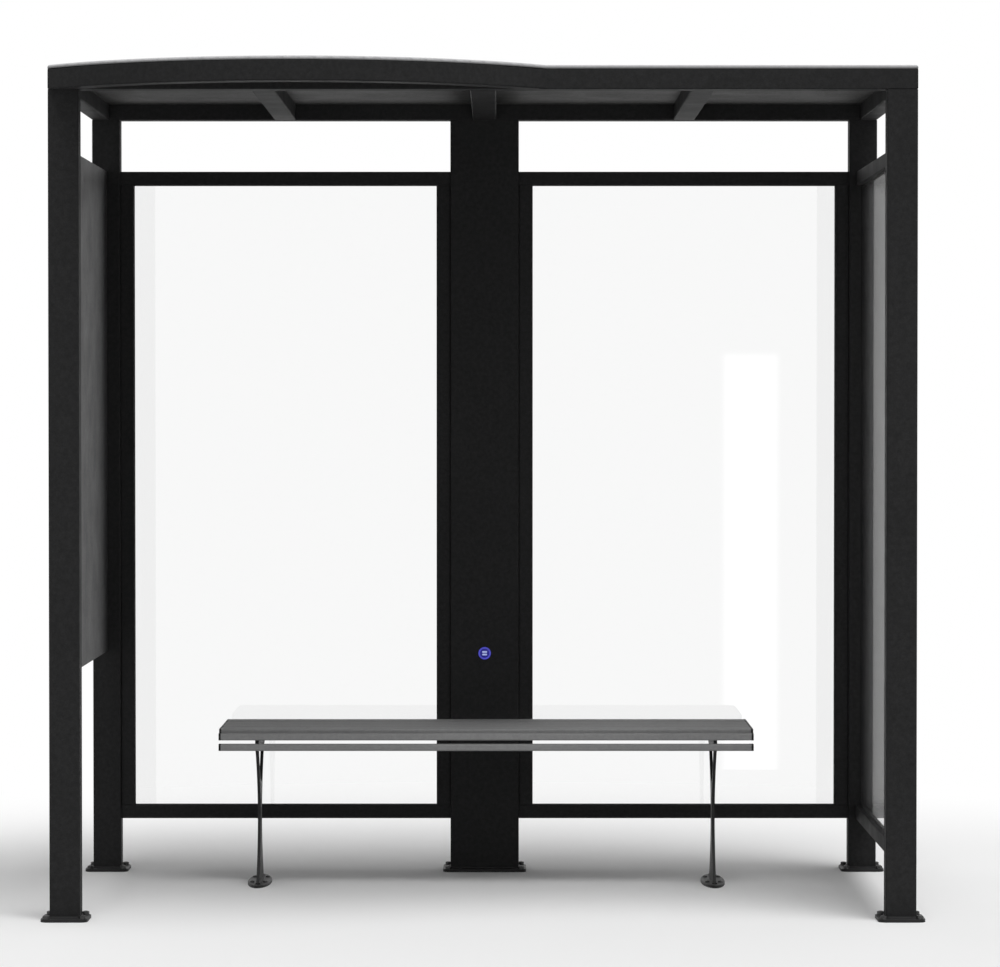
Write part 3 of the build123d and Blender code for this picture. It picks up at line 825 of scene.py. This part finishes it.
ANCHOR_THREAD, FOOT_THREAD = 0.010, 0.008
foot_holes = [name for name in mounts if name.endswith("_foot_holes")]
plate_holes = [name for name in mounts if name.endswith("_anchor_holes")]
fit_heads("plate_anchor_nuts", anchor_nut, ANCHOR_THREAD, plate_holes, plate_top, "plate_metal")
fit_heads("foot_screws", button_screw, FOOT_THREAD, foot_holes, foot_top, "cast_legs")

# %% [markdown]
# ## The lit socket
# On the column is a small round charging point. A ring of translucent blue plastic round its rim is
# lit from behind, and two ports one above the other are lit as well, so people find them at night.
# The ring is a turned dome, a thin disc of darker blue closes the recess and each port is a small
# rounded bar on it. All three glow gently, and a little unevenly.

# %% Lit plastic
GLOW_LOW, GLOW_HIGH = 0.85, 1.15


def lit_plastic(name, colour, glow, level, per_metre):
    """Translucent plastic with a light behind it, brighter in some places than in others."""
    material, tree, out = blank_material(name)
    skin = principled(tree, out)
    skin.inputs["Base Color"].default_value = (*colour, 1.0)
    skin.inputs["Roughness"].default_value = 0.35
    skin.inputs["Specular IOR Level"].default_value = 0.3
    bright = mottled(tree, per_metre, 2.0, dark=[c * GLOW_LOW for c in glow],
                     light=[min(1.0, c * GLOW_HIGH) for c in glow])
    tree.links.new(bright, skin.inputs["Emission Color"])
    skin.inputs["Emission Strength"].default_value = level
    return material


lens_light = lit_plastic("blue_lens", (0.01, 0.01, 0.1), (0.006, 0.006, 0.16), 1.0, 90.0)
ring_light = lit_plastic("blue_ring_light", (0.02, 0.02, 0.12), (0.055, 0.055, 0.42), 1.0, 60.0)
port_light = lit_plastic("port_light", (0.1, 0.12, 0.2), (0.32, 0.37, 0.62), 1.0, 200.0)
print("lit plastics:", lens_light.name, ring_light.name, port_light.name)

# %% Ring
RING_INNER, RING_OUTER, RING_DOME = 0.0132, 0.0184, 0.0012
RING_AROUND, RING_ACROSS = 64, 7

socket_low, socket_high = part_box("charging_socket")
socket_x, socket_z = (socket_low.x + socket_high.x) / 2, (socket_low.z + socket_high.z) / 2
socket_face = socket_low.y


def stand_up(mesh, depth):
    """Turn a mesh drawn flat, facing up, to face the front, and put it on the socket at a depth."""
    for vertex in mesh.vertices:
        x, y, z = vertex.co
        vertex.co = (socket_x + x, socket_face + depth - z, socket_z + y)


def ring_mesh():
    """A closed ring with a domed top, drawn flat."""
    shape = bmesh.new()
    middle, half = (RING_INNER + RING_OUTER) / 2, (RING_OUTER - RING_INNER) / 2
    over = [math.pi * i / (RING_ACROSS - 1) for i in range(RING_ACROSS)]
    profile = [(middle - half * math.cos(angle), RING_DOME * math.sin(angle)) for angle in over]
    around = [2 * math.pi * s / RING_AROUND for s in range(RING_AROUND)]
    loops = [[shape.verts.new((radius * math.cos(angle), radius * math.sin(angle), height))
              for angle in around] for radius, height in profile]
    for inner, outer in zip(loops, loops[1:] + loops[:1]):
        for step in range(RING_AROUND):
            after = (step + 1) % RING_AROUND
            shape.faces.new((inner[step], outer[step], outer[after], inner[after]))
    return as_mesh(shape, "socket_ring_light")


print("socket at x, face y, z:", [round(v, 4) for v in (socket_x, socket_face, socket_z)])

# %% Ports and lens
PORT_WIDTH, PORT_HEIGHT, PORT_SPACING, PORT_PROUD = 0.0142, 0.0050, 0.0078, 0.0012
PORT_CORNER, PORT_RIM = PORT_HEIGHT * 0.4, 0.0005
LENS_RADIUS, LENS_THICKNESS = 0.0127, 0.0006
LENS_WALL, PORT_SUNK = LENS_THICKNESS * 0.6, LENS_THICKNESS * 0.9
RECESS = 0.0025
SHARP = 1.0                         # a rim edge turns by more than this, in radians


def port_mesh():
    """Two rounded bars, one above the other, drawn flat."""
    shape = bmesh.new()
    for side in (-1, 1):
        bar = bmesh.ops.create_cube(shape, size=1.0)["verts"]
        bmesh.ops.scale(shape, verts=bar, vec=(PORT_WIDTH, PORT_HEIGHT, PORT_PROUD))
        bmesh.ops.translate(shape, verts=bar, vec=(0.0, side * PORT_SPACING / 2, PORT_PROUD / 2))
    upright = [e for e in shape.edges if abs(e.verts[0].co.z - e.verts[1].co.z) > PORT_PROUD / 2]
    bmesh.ops.bevel(shape, geom=upright, offset=PORT_CORNER, segments=4, affect="EDGES",
                    profile=0.5)
    near_top = PORT_PROUD * 0.99
    rim = [e for e in shape.edges if all(v.co.z > near_top for v in e.verts)
           and len(e.link_faces) == 2 and e.calc_face_angle(0.0) > SHARP]
    bmesh.ops.bevel(shape, geom=rim, offset=PORT_RIM, segments=2, affect="EDGES", profile=0.5)
    return as_mesh(shape, "socket_port_lights")


def lens_mesh():
    """The thin disc behind the ports, drawn flat."""
    shape = bmesh.new()
    add_turned(shape, [circle(LENS_RADIUS, 0.0), circle(LENS_RADIUS, LENS_WALL),
                       circle(LENS_RADIUS - LENS_THICKNESS, LENS_THICKNESS)])
    return as_mesh(shape, "socket_lens")


for make, depth, glow in ((ring_mesh, 0.0, ring_light), (lens_mesh, RECESS, lens_light),
                          (port_mesh, RECESS - PORT_SUNK, port_light)):
    mesh = make()
    stand_up(mesh, depth)
    mesh.materials.append(glow)
    keep(mesh.name, mesh)
